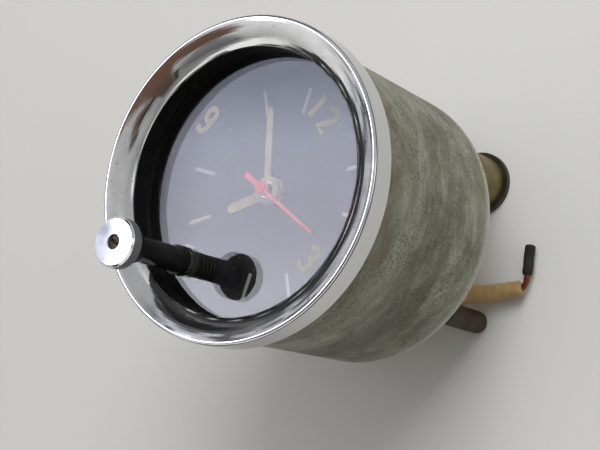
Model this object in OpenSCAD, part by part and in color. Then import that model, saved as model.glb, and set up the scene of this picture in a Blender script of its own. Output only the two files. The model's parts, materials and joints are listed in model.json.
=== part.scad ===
// Dashboard clock with a rewound balance movement and a push-and-turn setting knob.
// The clock stands on its back: the dial faces +Z, twelve o'clock lies towards +Y,
// and the ends of the rear fittings touch the plane z = 0. Millimetres.

/* [Case] */
// Outside diameter of the case where it meets the bezel
case_front_d = 60; // [59.5:0.1:61]
// Outside diameter of the case at its back
case_rear_d = 57.7; // [57:0.1:59]
// Depth of the case behind the dashboard face
case_depth = 43.9; // [43:0.1:50]
// Wall of the case
case_wall = 0.9; // [0.7:0.05:1]
// Thickness of the case's back
case_back_t = 1; // [0.8:0.1:1.4]
// Rounding of the case's rear edge
case_rear_round = 1.5; // [1.2:0.1:1.8]

/* [Bezel] */
// Height of the bezel's crest over the dashboard face
bezel_h = 5.1; // [4.8:0.1:5.6]
// Sheet thickness of the bezel's skirt
bezel_wall = 0.9; // [0.7:0.05:1]
// Rounding of the bezel's crest
crest_round = 0.6; // [0.5:0.05:0.8]
// Distance of the bezel's lip inside the case's front edge
lip_inset = 3.75; // [3.5:0.05:4]
// Depth of the lip's roll centre below the crest
lip_drop = 2.6; // [2.4:0.1:2.8]
// Rounding of the rolled lip
lip_round = 0.45; // [0.35:0.05:0.5]

/* [Glass and dial] */
// Depth of the glass below the bezel's crest
lens_drop = 6.6; // [6.4:0.1:7]
// Thickness of the glass
lens_t = 2; // [1.5:0.1:2.5]
// Thickness of the seal under the glass
gasket_t = 0.8; // [0.5:0.1:1]
// Depth of the dial's face below the front of the glass
dial_drop = 8.8; // [8.6:0.1:10]
// Thickness of the dial
dial_t = 0.8; // [0.5:0.1:1]
// Play of round pieces that drop into the case
drop_play = 0.25; // [0.1:0.05:0.3]
// Inner end of the hour batons, from the centre
baton_in_r = 16.4; // [15:0.1:17]
// Length of an hour baton
baton_len = 5.3; // [4:0.1:6]
// Width of an hour baton
baton_w = 0.7; // [0.5:0.05:1]

/* [Hands] */
// Underside of the hour hand above the dial
hour_rise = 1.6; // [1.4:0.1:1.8]
// Underside of the minute hand above the dial
minute_rise = 3.2; // [3:0.1:3.4]
// Underside of the second hand above the dial
second_rise = 5; // [4.8:0.1:5.2]
// Thickness of a hand
hand_t = 0.4; // [0.3:0.05:0.5]
// Length of the hour hand
hour_len = 10.8; // [9:0.1:12]
// Length of the minute hand
minute_len = 16.6; // [15:0.1:19]
// Length of the second hand
second_len = 15.4; // [14:0.1:19]
// Length of the second hand's tail
second_tail = 5; // [4:0.1:6]
// Clockwise angle of the hour hand from twelve
hour_angle = 205.5; // [0:0.5:359]
// Clockwise angle of the minute hand from twelve
minute_angle = 311; // [0:0.5:359]
// Clockwise angle of the second hand from twelve
second_angle = 80; // [0:0.5:359]

/* [Setting knob] */
// Distance of the setting stem inside the dial's edge
stem_inset = 6.83; // [6.75:0.02:7.05]
// Clockwise angle of the setting stem past six
stem_turn = 2.6; // [0:0.1:4]
// Radius of the setting stem
stem_r = 2.55; // [2.3:0.05:2.6]
// Height of the knob's face over the bezel's crest
knob_rise = 13; // [12:0.1:16]
// Radius of the knob over its knurl
knob_r = 4.85; // [4.4:0.05:5.2]
// Thickness of the knurled rim
knob_rim = 2.9; // [2.2:0.1:3.2]
// Length of the knob's boss behind the rim
knob_boss = 3.2; // [2.5:0.1:5]
// Number of knurls round the knob
knurls = 90; // [60:1:110]
// Travel of the knob when it is pushed to set the hands
push_travel = 2.2; // [2:0.05:2.3]

/* [Movement] */
// Distance of the plates' edges inside the case's wall
plate_inset = 3.3; // [3.1:0.1:3.5]
// Thickness of a movement plate
plate_t = 1.5; // [1.2:0.1:1.8]
// Room for the motion work between the dial and the front plate
motion_room = 5.2; // [5:0.1:6]
// Room for the train between the plates
train_room = 12.1; // [12:0.1:13]
// Angle between the lines from the centre to the stem and to the minute wheel
setting_lean = 9.15; // [8:0.05:10]
// Centre distance of the going train
train_reach = 9.72; // [9.6:0.02:10]
// Radius of the escape wheel's tips
escape_r = 3.6; // [3.5:0.05:3.7]
// Outer radius of the balance wheel
balance_r = 6; // [5.6:0.1:6.2]
// Clearance of a shaft in its bearing
run_clear = 0.05; // [0.03:0.01:0.08]

/* [Rear fittings] */
// Length of the studs behind the case
stud_len = 19; // [18:0.1:22]
// Radius of a mounting stud
stud_r = 2.4; // [2:0.05:2.5]
// Distance between the two mounting studs
stud_spacing = 48.6; // [47:0.1:48.8]
// Radius of the bulb holder's tube
holder_r = 5.85; // [5.7:0.05:6.1]
// Wall of the bulb holder's tube
holder_wall = 0.55; // [0.4:0.05:0.7]
// Radius of the bulb holder's end cap
cap_r = 6.85; // [6.6:0.05:7]
// Radius of the terminal post
post_r = 2; // [1.8:0.05:2.2]
// Radius of the lead's copper core
core_r = 0.6; // [0.5:0.05:0.65]

/* [Hidden] */

fine = 96;
small = 32;
cut = 1;

// Heights of the main faces over the plane that the clock stands on
z_back = stud_len;
z_back_in = z_back + case_back_t;
z_seat = z_back + case_depth;
z_crest = z_seat + bezel_h;
z_lens = z_crest - lens_drop;
z_lens_under = z_lens - lens_t;
z_dial = z_lens - dial_drop;
z_dial_under = z_dial - dial_t;
z_plate = z_dial_under - motion_room;
z_plate_under = z_plate - plate_t;
z_rear = z_plate_under - train_room;
z_rear_under = z_rear - plate_t;
z_knob = z_crest + knob_rise;

// Case and bezel
front_r = case_front_d / 2;
rear_r = case_rear_d / 2;
seat_clear = 0.05;
flange_t = 1;
flange_gap = 0.1;
crimp_t = 0.6;
flange_reach = 0.9;
flange_r = front_r + flange_reach;
skirt_r = flange_r + flange_gap + bezel_wall;
z_flange = z_seat + crimp_t + flange_gap;
z_rim = z_flange + flange_t;
z_lip = z_crest - lip_drop;
z_lip_under = z_lip - lip_round;
crest_c = skirt_r - crest_round;
bore_r = front_r - case_wall;
lip_r = front_r - lip_inset;
dish_in = 50;
dish_out = 10;
cone_low = z_back + case_rear_round;
function wall_r(z) = rear_r + (front_r - rear_r) * (z - cone_low) / (z_seat - cone_low);
function inner_r(z) = wall_r(z) - case_wall;

// Stack under the bezel: every round piece drops in from the front
z_gasket = z_lens_under - gasket_t;
stack_r = min(inner_r(z_dial_under), bore_r) - drop_play;
retainer_r = lip_r + 0.1;
rehaut_w = 1.6;
rehaut_r = stack_r - rehaut_w;
seat_ring_h = 4.3;
seat_ring_w = 2.9;
seat_ring_in = inner_r(z_dial_under - seat_ring_h) - seat_ring_w;
plate_r = inner_r(z_dial_under - seat_ring_h) - plate_inset;

// Setting stem
stem_reach = stack_r - stem_inset;
stem_bearing = -90 - stem_turn;
motion_reach = stem_reach / 2 / cos(setting_lean);
stem_at = stem_reach * [cos(stem_bearing), sin(stem_bearing), 0];
bush_flange_r = stem_r + 0.4;
bush_rise = 1.2;
bush_nut_t = 0.5;
bush_wall = 0.2;
cup_t = 0.8;
cup_r = stem_r + 0.95;
z_cup = z_lens_under - bush_nut_t - 0.1 - cup_t;
pilot_r = 1.2;
pinion_h = 1.6;
z_setting = z_plate + push_travel + 0.2;
screw_r = 1.45;
screw_depth = 0.5;
screw_h = 1.1;
spigot_r = 1.25;
knurl_depth = 0.2;
slot_dir = 14;
boss_r = stem_r + 0.4;
z_knob_under = z_knob - knob_rim - knob_boss;

// Teeth: a stub form that runs freely on small pinions
pressure_angle = 28;
addendum = 0.75;
dedendum = 1.05;
tooth_play = 0.06;
setting_teeth = 12;
cannon_teeth = 12;
minute_teeth = 36;
minute_leaves = 10;
hour_teeth = 40;
train_leaves = 8;
center_teeth = 64;
third_teeth = 60;
fourth_teeth = 64;
escape_teeth = 15;
ratchet_teeth = 24;
motion_m = 2 * motion_reach / (cannon_teeth + minute_teeth);
hour_m = 2 * motion_reach / (minute_leaves + hour_teeth);
center_m = 2 * train_reach / (center_teeth + train_leaves);
third_m = 2 * train_reach / (third_teeth + train_leaves);
fourth_m = 2 * train_reach / (fourth_teeth + train_leaves);
setting_add = 0.5;

// Places of the arbors, seen from the front
minute_dir = stem_bearing + setting_lean;
minute_at = motion_reach * [cos(minute_dir), sin(minute_dir)];
to_stem = [stem_at[0] - minute_at[0], stem_at[1] - minute_at[1]];
stem_dir = atan2(to_stem[1], to_stem[0]);
third_dir = 150;
third_at = train_reach * [cos(third_dir), sin(third_dir)];
escape_dir = 235;
escape_at = train_reach * [cos(escape_dir), sin(escape_dir)];
pallet_half = 42;
lever_reach = escape_r / cos(pallet_half);
fork_reach = 5.5;
lever_at = (train_reach + lever_reach) * [cos(escape_dir), sin(escape_dir)];
balance_at = (train_reach + lever_reach + fork_reach) * [cos(escape_dir), sin(escape_dir)];

// Tubes and arbors on the centre
seconds_r = 0.55;
center_r = 1.1;
cannon_r = 1.6;
hour_tube_r = 2.2;
arbor_r = 0.6;
pivot_r = 0.4;
hub_ring = 0.55;
bearing_drop = 1.5;
bearing_r = 2.6;

// Levels of the train above the rear plate
center_z = 9.2;
wheel_t = 0.9;
spring_z = 8.25;
ratchet_z = 7.2;
third_z = 5.4;
fourth_z = 3.2;
escape_z = 1.2;
escape_t = 0.6;
lever_z = 2.2;
lever_t = 0.6;
leaf_over = 0.4;
motion_cross_ring = 0.47 * motion_reach;
motion_cross_r = 0.15 * motion_reach;
cross_ring = 5.2;
cross_r = 1.7;
mainspring_in = 1.45;
mainspring_out = 5.6;
mainspring_band = 0.2;
mainspring_h = 0.7;
ratchet_r = 6.5;
ratchet_depth = 1;

// Balance
fork_pin_r = 0.2;
fork_orbit = 1.1;
pallet_pin_r = 0.15;
roller_z = 3;
roller_t = 0.4;
roller_r = 1.6;
balance_z = 5;
balance_h = 1.2;
rim_w = 0.9;
hairspring_z = 7.4;
hairspring_h = 0.6;
hairspring_in = 1.2;
hairspring_out = 3.8;
collet_r = 1;
regulator_z = 8.6;
regulator_t = 0.5;
regulator_hub = 1.6;
regulator_tail = 5.2;
regulator_w = 0.8;
cock_z = 9.4;
cock_t = 1.2;
cock_foot = 7.5;
cock_w = 3;
cock_foot_r = 2.2;
cock_dir = 175;

// Rewinding magnet
coil_y = 17.5;
coil_z = z_rear + 6.2;
coil_x0 = -3;
coil_len = 14;
coil_r = 4.4;
bobbin_r = 5;
bobbin_wall = 0.7;
magnet_r = 1.9;
yoke_t = 1.2;
yoke_w = 7;
yoke_foot = 1;
yoke_over = 3.4;
pole_gap = 0.6;
pole_x = coil_x0 + coil_len + 1.2;
armature_t = 1.2;
armature_at = [pole_x + pole_gap + armature_t / 2, 10.6];
armature_z = 2;
armature_h = 8.4;
pin_r = 0.8;
barrel_r = 1.4;
pawl_t = 0.7;
pawl_w = 0.5;
pawl_reach = norm(armature_at) - ratchet_r - 0.05;
pawl_dir = atan2(armature_at[1], armature_at[0]);
ratchet_step = 360 / ratchet_teeth;
click_dir = pawl_dir - 8.42 * ratchet_step;
click_reach = 13;
click_lead = 38;
click_t = 0.8;
click_w = 0.5;
click_r = 1.5;
click_at = click_reach * [cos(click_dir + click_lead), sin(click_dir + click_lead)];
click_tip = (ratchet_r - 0.2) * [cos(click_dir), sin(click_dir)];
lever_pin_r = 0.5;
blade_t = 0.3;
blade_gap = 0.3;
block_size = [2.8, 3.5, 8];
block_y = 14.4;
block_at = [armature_at[0] + armature_t / 2 + blade_gap + blade_t, block_y];

// Pillars and dial posts, as radius and angles
pillar_ring = 22.4;
pillar_dirs = [10, 130, 285];
pillar_r = 1.8;
tenon_r = 1;
post_ring = 20;
post_dirs = [60, 180, 320];
dial_post_r = 1.5;

// Rear fittings
stud_x = stud_spacing / 2;
stud_head_r = 2.9;
stud_neck_r = 2;
stud_head_t = 0.9;
stud_end_round = 1.4;
holder_at = [1.35, 19.65, 0];
holder_in = 6;
cap_h = 1.3;
cap_floor = 0.7;
collar_t = 1;
bulb_r = 4.7;
bulb_z = 3;
bulb_base_h = 9;
bulb_glass_h = 11;
terminal_at = [10.6, -14.7, 0];
washer_r = 4.4;
washer_t = 1.8;
inner_washer_t = 1.2;
post_head_r = 3.4;
post_head_t = 1.8;
nut_across = 7;
nut_h = 2.8;
eyelet_t = 0.8;
eyelet_r = 3.8;
z_nut = z_back - washer_t - nut_h;
z_eyelet = z_nut - eyelet_t;
barrel_from = 4.4;
barrel_len = 4;
barrel_bore = core_r + 0.15;
eyelet_barrel_r = 1.3;

// Route of the lead from the eyelet to its cut end
lead_top = z_eyelet + eyelet_t / 2;
lead_low = 5;
lead_fall = lead_top - lead_low;
lead_points = [
    [13.6, -8.8, lead_top], [14.65, -6.7, lead_top], [15.3, -5.4, lead_low + 0.94 * lead_fall],
    [16.0, -4.0, lead_low + 0.8 * lead_fall], [16.7, -2.6, lead_low + 0.6 * lead_fall],
    [17.3, -1.4, lead_low + 0.4 * lead_fall], [17.9, -0.2, lead_low + 0.18 * lead_fall],
    [18.3, 0.81, lead_low], [18.89, 2.5, 4.0], [19.51, 3.54, 3.4], [19.66, 3.75, 3.3], [20.4, 4.3, 3.1],
    [21.5, 5.5, 2.9], [22.6, 6.9, 2.7], [23.8, 8.6, 2.6], [25.2, 10.4, 2.5], [26.3, 11.9, 2.4],
    [26.8, 12.7, 2.3], [26.6, 13.7, 2.2], [26.0, 14.4, 2.0], [25.2, 15.2, 1.9], [23.9, 16.6, 1.8],
    [22.5, 17.9, 1.7], [21.3, 19.2, 1.6], [20.7, 19.9, 1.6]
];
sleeve_first = 1;
sleeve_step = 9;
sleeve_last = 17;
tip_first = 20;
sleeve_neck = 1.55;
sleeve_full = 2.35;
sleeve_big = 2.25;
sleeve_small = 1.65;
tip_r = 1.1;
tube_sides = 8;
core_play = 0.15;

// Colours
zinc = [0.55, 0.56, 0.52];
chrome = [0.85, 0.86, 0.87];
black = [0.06, 0.06, 0.07];
brass = [0.72, 0.6, 0.33];
steel = [0.62, 0.63, 0.65];
cream = [0.86, 0.84, 0.78];
rust = [0.22, 0.17, 0.13];
tan_cloth = [0.66, 0.52, 0.34];
fibre = [0.45, 0.2, 0.12];
copper = [0.62, 0.33, 0.18];

// Points on an arc about c, from angle a to b in n steps
function arc(c, r, a, b, n) =
    [for (i = [0:n]) let (w = a + (b - a) * i / n) c + r * [cos(w), sin(w)]];

// Half of a tooth's angle at radius r, for n teeth of size m
function involute(a) = tan(a) * 180 / PI - a;
function tooth_half(m, n, r, play) =
    let (pitch_r = m * n / 2,
         base_r = pitch_r * cos(pressure_angle),
         lean = acos(min(1, base_r / max(r, base_r))))
    90 / n - play * m / pitch_r * 180 / PI + involute(pressure_angle) - involute(lean);

// Gear blank with n teeth of size m; a tooth's middle points along +X
module gear(m, n, h, steps = 2, add = addendum, play = tooth_play) {
    root = m * (n / 2 - dedendum);
    tip = m * (n / 2 + add);
    radii = [for (i = [0:steps]) root + (tip - root) * i / steps];
    halves = [for (r = radii) tooth_half(m, n, r, play)];
    linear_extrude(h)
        polygon([for (k = [0:n - 1]) each concat(
            [for (i = [0:steps]) let (a = 360 * k / n - halves[i]) radii[i] * [cos(a), sin(a)]],
            [for (i = [steps:-1:0]) let (a = 360 * k / n + halves[i]) radii[i] * [cos(a), sin(a)]]
        )]);
}

// Ring of round lightening holes in a wheel
module crossings(r, hole_r, count, h) {
    for (k = [0:count - 1])
        rotate(360 * k / count) translate([r, 0, -cut]) cylinder(r = hole_r, h = h + 2 * cut, $fn = small);
}

// Flat band wound in a spiral
module spiral(r_in, r_out, turns, band, h) {
    n = turns * 20;
    function at(i) = r_in + (r_out - r_in) * i / n;
    linear_extrude(h)
        polygon(concat(
            [for (i = [0:n]) (at(i) + band / 2) * [cos(18 * i), sin(18 * i)]],
            [for (i = [n:-1:0]) (at(i) - band / 2) * [cos(18 * i), sin(18 * i)]]));
}

// Arbor with a pivot at each end, between the two plates
module pivoted_arbor(r) {
    translate([0, 0, z_rear_under + 0.2])
        cylinder(r = pivot_r, h = z_plate - z_rear_under - 0.4, $fn = small);
    translate([0, 0, z_rear + 0.2]) cylinder(r = r, h = train_room - 0.4, $fn = small);
}

// Bar with round ends between two points
module bar(a, b, w, h) {
    d = b - a;
    translate([a[0], a[1], 0]) rotate(atan2(d[1], d[0])) {
        translate([0, -w / 2, 0]) cube([norm(d), w, h]);
        cylinder(d = w, h = h, $fn = small);
        translate([norm(d), 0, 0]) cylinder(d = w, h = h, $fn = small);
    }
}

// Frames that follow a route, and the tube swept along them
function unit(v) = v / norm(v);
function along(p, i) = unit(p[min(i + 1, len(p) - 1)] - p[max(i - 1, 0)]);
function ring_at(p, i, r, sides) =
    let (t = along(p, i), side = unit(cross([0, 0, 1], t)), up = cross(t, side))
    [for (k = [0:sides - 1]) p[i] + r * (side * cos(360 * k / sides) + up * sin(360 * k / sides))];
function skin(rings, sides, from) =
    [for (i = [0:rings - 2]) for (k = [0:sides - 1])
        let (a = from + i * sides + k, b = from + i * sides + (k + 1) % sides)
        each [[a, b, b + sides], [a, b + sides, a + sides]]];
function flipped(faces) = [for (f = faces) [f[0], f[2], f[1]]];

module swept_rod(p, r, sides) {
    n = len(p);
    points = [for (i = [0:n - 1]) each ring_at(p, i, r, sides)];
    start = [for (k = [1:sides - 2]) [0, k + 1, k]];
    last = (n - 1) * sides;
    finish = [for (k = [1:sides - 2]) [last, last + k, last + k + 1]];
    polyhedron(points, flipped(concat(skin(n, sides, 0), start, finish)));
}

module swept_sleeve(p, radii, bore, sides) {
    n = len(p);
    inner = n * sides;
    points = concat(
        [for (i = [0:n - 1]) each ring_at(p, i, radii[i], sides)],
        [for (i = [0:n - 1]) each ring_at(p, i, bore, sides)]);
    function lid(at) = [for (k = [0:sides - 1])
        let (b = (k + 1) % sides)
        each [[at + k, inner + at + b, at + b], [at + k, inner + at + k, inner + at + b]]];
    polyhedron(points, flipped(concat(
        skin(n, sides, 0), flipped(skin(n, sides, inner)), lid(0), flipped(lid((n - 1) * sides)))));
}

// Conical can with a rounded rear edge and a flange for the bezel
module case() color(zinc) difference() {
    rotate_extrude($fn = fine) polygon(concat(
        [[0, z_back]],
        arc([rear_r - case_rear_round, z_back + case_rear_round], case_rear_round, -90, 0, 6),
        [[front_r, z_seat], [front_r, z_flange], [flange_r, z_flange], [flange_r, z_rim],
         [bore_r, z_rim], [bore_r, z_seat]],
        arc([rear_r - case_rear_round, z_back + case_rear_round], case_rear_round - case_wall, 0, -90, 4),
        [[rear_r - case_rear_round - 0.3, z_back_in], [0, z_back_in]]));
    for (s = [-1, 1])
        translate([s * stud_x, 0, z_back - cut])
            cylinder(r = stud_neck_r + seat_clear, h = case_back_t + 2 * cut, $fn = small);
    translate(holder_at + [0, 0, z_back - cut])
        cylinder(r = holder_r + seat_clear, h = case_back_t + 2 * cut, $fn = fine);
    translate(terminal_at + [0, 0, z_back - cut])
        cylinder(r = post_r + 0.9, h = case_back_t + 2 * cut, $fn = small);
}

// Polished ring that falls in a curve from its crest to its rolled lip, crimped behind the case's flange
module bezel() color(chrome) {
    lip_at = [lip_r + lip_round, z_lip];
    crest_at = [crest_c, z_crest - crest_round];
    from = lip_at + lip_round * [-sin(dish_in), cos(dish_in)];
    to = crest_at + crest_round * [-sin(dish_out), cos(dish_out)];
    rise = to - from;
    reach = (rise[0] * sin(dish_out) - rise[1] * cos(dish_out)) / sin(dish_out - dish_in);
    bend = from + reach * [cos(dish_in), sin(dish_in)];
    rotate_extrude($fn = fine) polygon(concat(
        arc(lip_at, lip_round, 270, 90 + dish_in, 6),
        [for (i = [1:11]) let (t = i / 12) (1 - t) ^ 2 * from + 2 * t * (1 - t) * bend + t ^ 2 * to],
        arc(crest_at, crest_round, 90 + dish_out, 0, 8),
        [[skirt_r, z_seat], [front_r + seat_clear, z_seat], [front_r + seat_clear, z_seat + crimp_t],
         [skirt_r - bezel_wall, z_seat + crimp_t], [skirt_r - bezel_wall, z_crest - crest_round],
         [crest_c - crest_round, z_crest - crest_round - bezel_wall],
         [bore_r - 0.1, z_lip_under]]));
}

// Black sleeve between the bezel's lip and the glass
module lens_retainer() color(black)
    rotate_extrude($fn = fine)
        polygon([
            [retainer_r, z_lens], [bore_r - 0.15, z_lens],
            [bore_r - 0.15, z_lip_under], [retainer_r, z_lip_under]]);

module lens() color([0.7, 0.75, 0.8, 0.4]) difference() {
    translate([0, 0, z_lens_under]) cylinder(r = stack_r, h = lens_t, $fn = fine);
    translate(stem_at + [0, 0, z_lens_under - cut])
        cylinder(r = stem_r + run_clear + bush_wall + seat_clear, h = lens_t + 2 * cut, $fn = fine);
}

module lens_gasket() color(black)
    translate([0, 0, z_gasket]) difference() {
        cylinder(r = stack_r, h = gasket_t, $fn = fine);
        translate([0, 0, -cut]) cylinder(r = rehaut_r, h = gasket_t + 2 * cut, $fn = fine);
    }

// Black ring that holds the glass off the dial
module dial_spacer() color(black)
    translate([0, 0, z_dial]) difference() {
        cylinder(r = stack_r, h = z_gasket - z_dial, $fn = fine);
        translate([0, 0, -cut]) cylinder(r = rehaut_r, h = z_gasket - z_dial + 2 * cut, $fn = fine);
    }

module dial() color(black) difference() {
    translate([0, 0, z_dial_under]) cylinder(r = stack_r, h = dial_t, $fn = fine);
    translate([0, 0, z_dial_under - cut])
        cylinder(r = hour_tube_r + 0.3, h = dial_t + 2 * cut, $fn = small);
    translate(stem_at + [0, 0, z_dial_under - cut])
        cylinder(r = stem_r + 0.2, h = dial_t + 2 * cut, $fn = small);
}

// Raised bars at every hour but the quarters
baton_t = 0.1;
module hour_batons() color(cream)
    for (hour = [1, 2, 4, 5, 7, 8, 10, 11])
        rotate(-30 * hour) translate([-baton_w / 2, baton_in_r, z_dial])
            cube([baton_w, baton_len, baton_t]);

// Ring wedged in the cone of the case, which carries the dial
module seat_ring() color(steel)
    rotate_extrude($fn = fine) polygon([
        [seat_ring_in, z_dial_under], [seat_ring_in, z_dial_under - seat_ring_h],
        [inner_r(z_dial_under - seat_ring_h) - 0.02, z_dial_under - seat_ring_h],
        [inner_r(z_dial_under) - 0.02, z_dial_under]]);

// Guide for the setting stem, clamped in the glass
module stem_bush() color(black) translate(stem_at) difference() {
    union() {
        translate([0, 0, z_lens]) cylinder(r = bush_flange_r, h = bush_rise, $fn = fine);
        translate([0, 0, z_lens_under - bush_nut_t])
            cylinder(r = stem_r + run_clear + bush_wall, h = lens_t + bush_nut_t + bush_rise, $fn = fine);
        translate([0, 0, z_lens_under - bush_nut_t])
            cylinder(r = bush_flange_r, h = bush_nut_t, $fn = fine);
    }
    translate([0, 0, z_lens_under - bush_nut_t - cut])
        cylinder(r = stem_r + run_clear, h = lens_t + bush_nut_t + bush_rise + 2 * cut, $fn = fine);
}

// Flat hand with a ring for a hub; the blade lies along +Y and ends in a chamfer
module baton_hand(hub_r, bore, length, w, tip) {
    linear_extrude(hand_t) difference() {
        union() {
            circle(r = hub_r, $fn = fine);
            polygon([
                [-w / 2, 0], [w / 2, 0], [w / 2, length - tip],
                [0.2, length], [-0.2, length], [-w / 2, length - tip]]);
        }
        circle(r = bore, $fn = fine);
    }
}

module hour_hand() color(cream)
    translate([0, 0, z_dial + hour_rise]) rotate(-hour_angle)
        baton_hand(hour_tube_r + hub_ring, hour_tube_r + 0.02, hour_len, 2, 0.9);

module minute_hand() color(cream)
    translate([0, 0, z_dial + minute_rise]) rotate(-minute_angle)
        baton_hand(cannon_r + 1.05, cannon_r + 0.02, minute_len, 1.35, 1.1);

module second_hand() color([0.75, 0.12, 0.12])
    translate([0, 0, z_dial + second_rise]) rotate(-second_angle) difference() {
        union() {
            linear_extrude(hand_t) {
                circle(r = 1.5, $fn = fine);
                polygon([[-0.4, 0], [0.4, 0], [0.25, second_len], [-0.25, second_len]]);
                polygon([[-0.5, 0], [0.5, 0], [0.55, -second_tail], [-0.55, -second_tail]]);
            }
            cylinder(r = 1, h = hand_t + 0.4, $fn = small);
        }
        translate([0, 0, -cut]) cylinder(r = seconds_r + 0.02, h = hand_t + cut, $fn = small);
    }

// Knob head with a straight knurl, a boss behind it and a seat for its screw
module setting_knob() color(chrome) translate(stem_at) difference() {
    union() {
        translate([0, 0, z_knob - knob_rim + 0.3]) linear_extrude(knob_rim - 0.7)
            polygon([for (k = [0:2 * knurls - 1])
                let (r = k % 2 == 0 ? knob_r : knob_r - knurl_depth, a = 180 * k / knurls)
                r * [cos(a), sin(a)]]);
        rotate_extrude($fn = fine) polygon([
            [0, z_knob], [knob_r - 0.4, z_knob], [knob_r - 0.1, z_knob - 0.4], [knob_r - 0.3, z_knob - 0.4],
            [knob_r - 0.3, z_knob - knob_rim + 0.3], [knob_r - 0.5, z_knob - knob_rim],
            [boss_r, z_knob - knob_rim], [boss_r, z_knob_under], [0, z_knob_under]]);
    }
    translate([0, 0, z_knob - screw_depth - screw_h])
        cylinder(r = screw_r + seat_clear, h = screw_depth + screw_h + cut, $fn = small);
    translate([0, 0, z_knob_under - cut])
        cylinder(r = spigot_r + seat_clear, h = z_knob - z_knob_under, $fn = small);
}

// Cheese-headed screw that draws the knob on to the stem
module knob_screw() color(brass) translate(stem_at) difference() {
    translate([0, 0, z_knob - screw_depth - screw_h]) cylinder(r = screw_r, h = screw_h, $fn = small);
    rotate(slot_dir) translate([-screw_r - cut, -0.25, z_knob - screw_depth - 0.5])
        cube([2 * (screw_r + cut), 0.5, 1]);
}

// Stem: a spigot in the knob, the polished shank and a pilot in the front plate
module setting_stem() color(black) translate(stem_at) {
    translate([0, 0, z_setting + pinion_h])
        cylinder(r = stem_r, h = z_knob_under - z_setting - pinion_h, $fn = fine);
    translate([0, 0, z_knob_under])
        cylinder(r = spigot_r, h = knob_rim + knob_boss - screw_depth - screw_h, $fn = small);
    translate([0, 0, z_plate - 1])
        cylinder(r = pilot_r, h = z_setting + pinion_h - z_plate + 1, $fn = small);
}

// Pinion that drops into mesh with the minute wheel when the knob is pushed
module setting_pinion() color(brass) translate(stem_at + [0, 0, z_setting]) difference() {
    rel = (stem_dir - (minute_dir + 180)) * minute_teeth / 360;
    slip = (rel - floor(rel)) * 360 / minute_teeth;
    rotate(stem_dir + 180 + (slip - 0.9) * minute_teeth / setting_teeth)
        gear(motion_m, setting_teeth, pinion_h, 3, setting_add, 0.3);
    translate([0, 0, -cut]) cylinder(r = pilot_r + 0.02, h = pinion_h + 2 * cut, $fn = small);
}

// Washer that takes the spring's thrust and stops the stem under the glass
module spring_cup() color(black) translate(stem_at + [0, 0, z_cup]) difference() {
    cylinder(r = cup_r, h = cup_t, $fn = fine);
    translate([0, 0, -cut]) cylinder(r = stem_r + run_clear, h = cup_t + 2 * cut, $fn = fine);
}

// Return spring of the knob, between the dial and the cup
spring_turns = 4;
spring_wire = 0.28;
spring_mean = stem_r + 0.65;
spring_rings = spring_turns * 8;
spring_low = z_dial + spring_wire + 0.05;
spring_rise = z_cup - z_dial - 2 * (spring_wire + 0.05);
spring_path = [for (i = [0:spring_rings])
    [spring_mean * cos(45 * i), spring_mean * sin(45 * i), spring_low + spring_rise * i / spring_rings]];
module setting_spring() color(steel) translate(stem_at) swept_rod(spring_path, spring_wire, 6);

module plate_holes(places, r, z) {
    for (p = places) translate([p[0], p[1], z - cut]) cylinder(r = r, h = plate_t + 2 * cut, $fn = small);
}
pillar_places = [for (a = pillar_dirs) pillar_ring * [cos(a), sin(a)]];
post_places = [for (a = post_dirs) post_ring * [cos(a), sin(a)]];
pivot_places = [third_at, escape_at];

module front_plate() color(brass) difference() {
    union() {
        translate([0, 0, z_plate_under]) cylinder(r = plate_r, h = plate_t, $fn = fine);
        translate([0, 0, z_plate_under - bearing_drop])
            cylinder(r = bearing_r, h = bearing_drop + plate_t, $fn = small);
    }
    translate([0, 0, z_plate_under - bearing_drop - cut])
        cylinder(r = center_r + run_clear, h = bearing_drop + plate_t + 2 * cut, $fn = small);
    plate_holes([stem_at], pilot_r + run_clear, z_plate_under);
    plate_holes(pivot_places, pivot_r + run_clear, z_plate_under);
    plate_holes(pillar_places, tenon_r + seat_clear, z_plate_under);
    plate_holes(post_places, tenon_r + seat_clear, z_plate_under);
    plate_holes([minute_at], 0.9 + seat_clear, z_plate_under);
    plate_holes([armature_at], pin_r + seat_clear, z_plate_under);
    plate_holes([click_at], pin_r + seat_clear, z_plate_under);
}

module rear_plate() color(brass) difference() {
    translate([0, 0, z_rear_under]) cylinder(r = plate_r, h = plate_t, $fn = fine);
    plate_holes(concat(pivot_places, [[0, 0], balance_at]), pivot_r + run_clear, z_rear_under);
    plate_holes(pillar_places, tenon_r + seat_clear, z_rear_under);
    plate_holes([armature_at], pin_r + seat_clear, z_rear_under);
    plate_holes([lever_at], lever_pin_r + seat_clear, z_rear_under);
}

module pillars() color(brass)
    for (p = pillar_places) translate([p[0], p[1], 0]) {
        translate([0, 0, z_rear]) cylinder(r = pillar_r, h = train_room, $fn = small);
        translate([0, 0, z_rear_under - 0.3])
            cylinder(r = tenon_r, h = z_plate - z_rear_under + 0.6, $fn = small);
    }

module dial_posts() color(brass)
    for (p = post_places) translate([p[0], p[1], 0]) {
        translate([0, 0, z_plate]) cylinder(r = dial_post_r, h = motion_room, $fn = small);
        translate([0, 0, z_plate_under - 0.3]) cylinder(r = tenon_r, h = plate_t + 0.3, $fn = small);
    }

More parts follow.
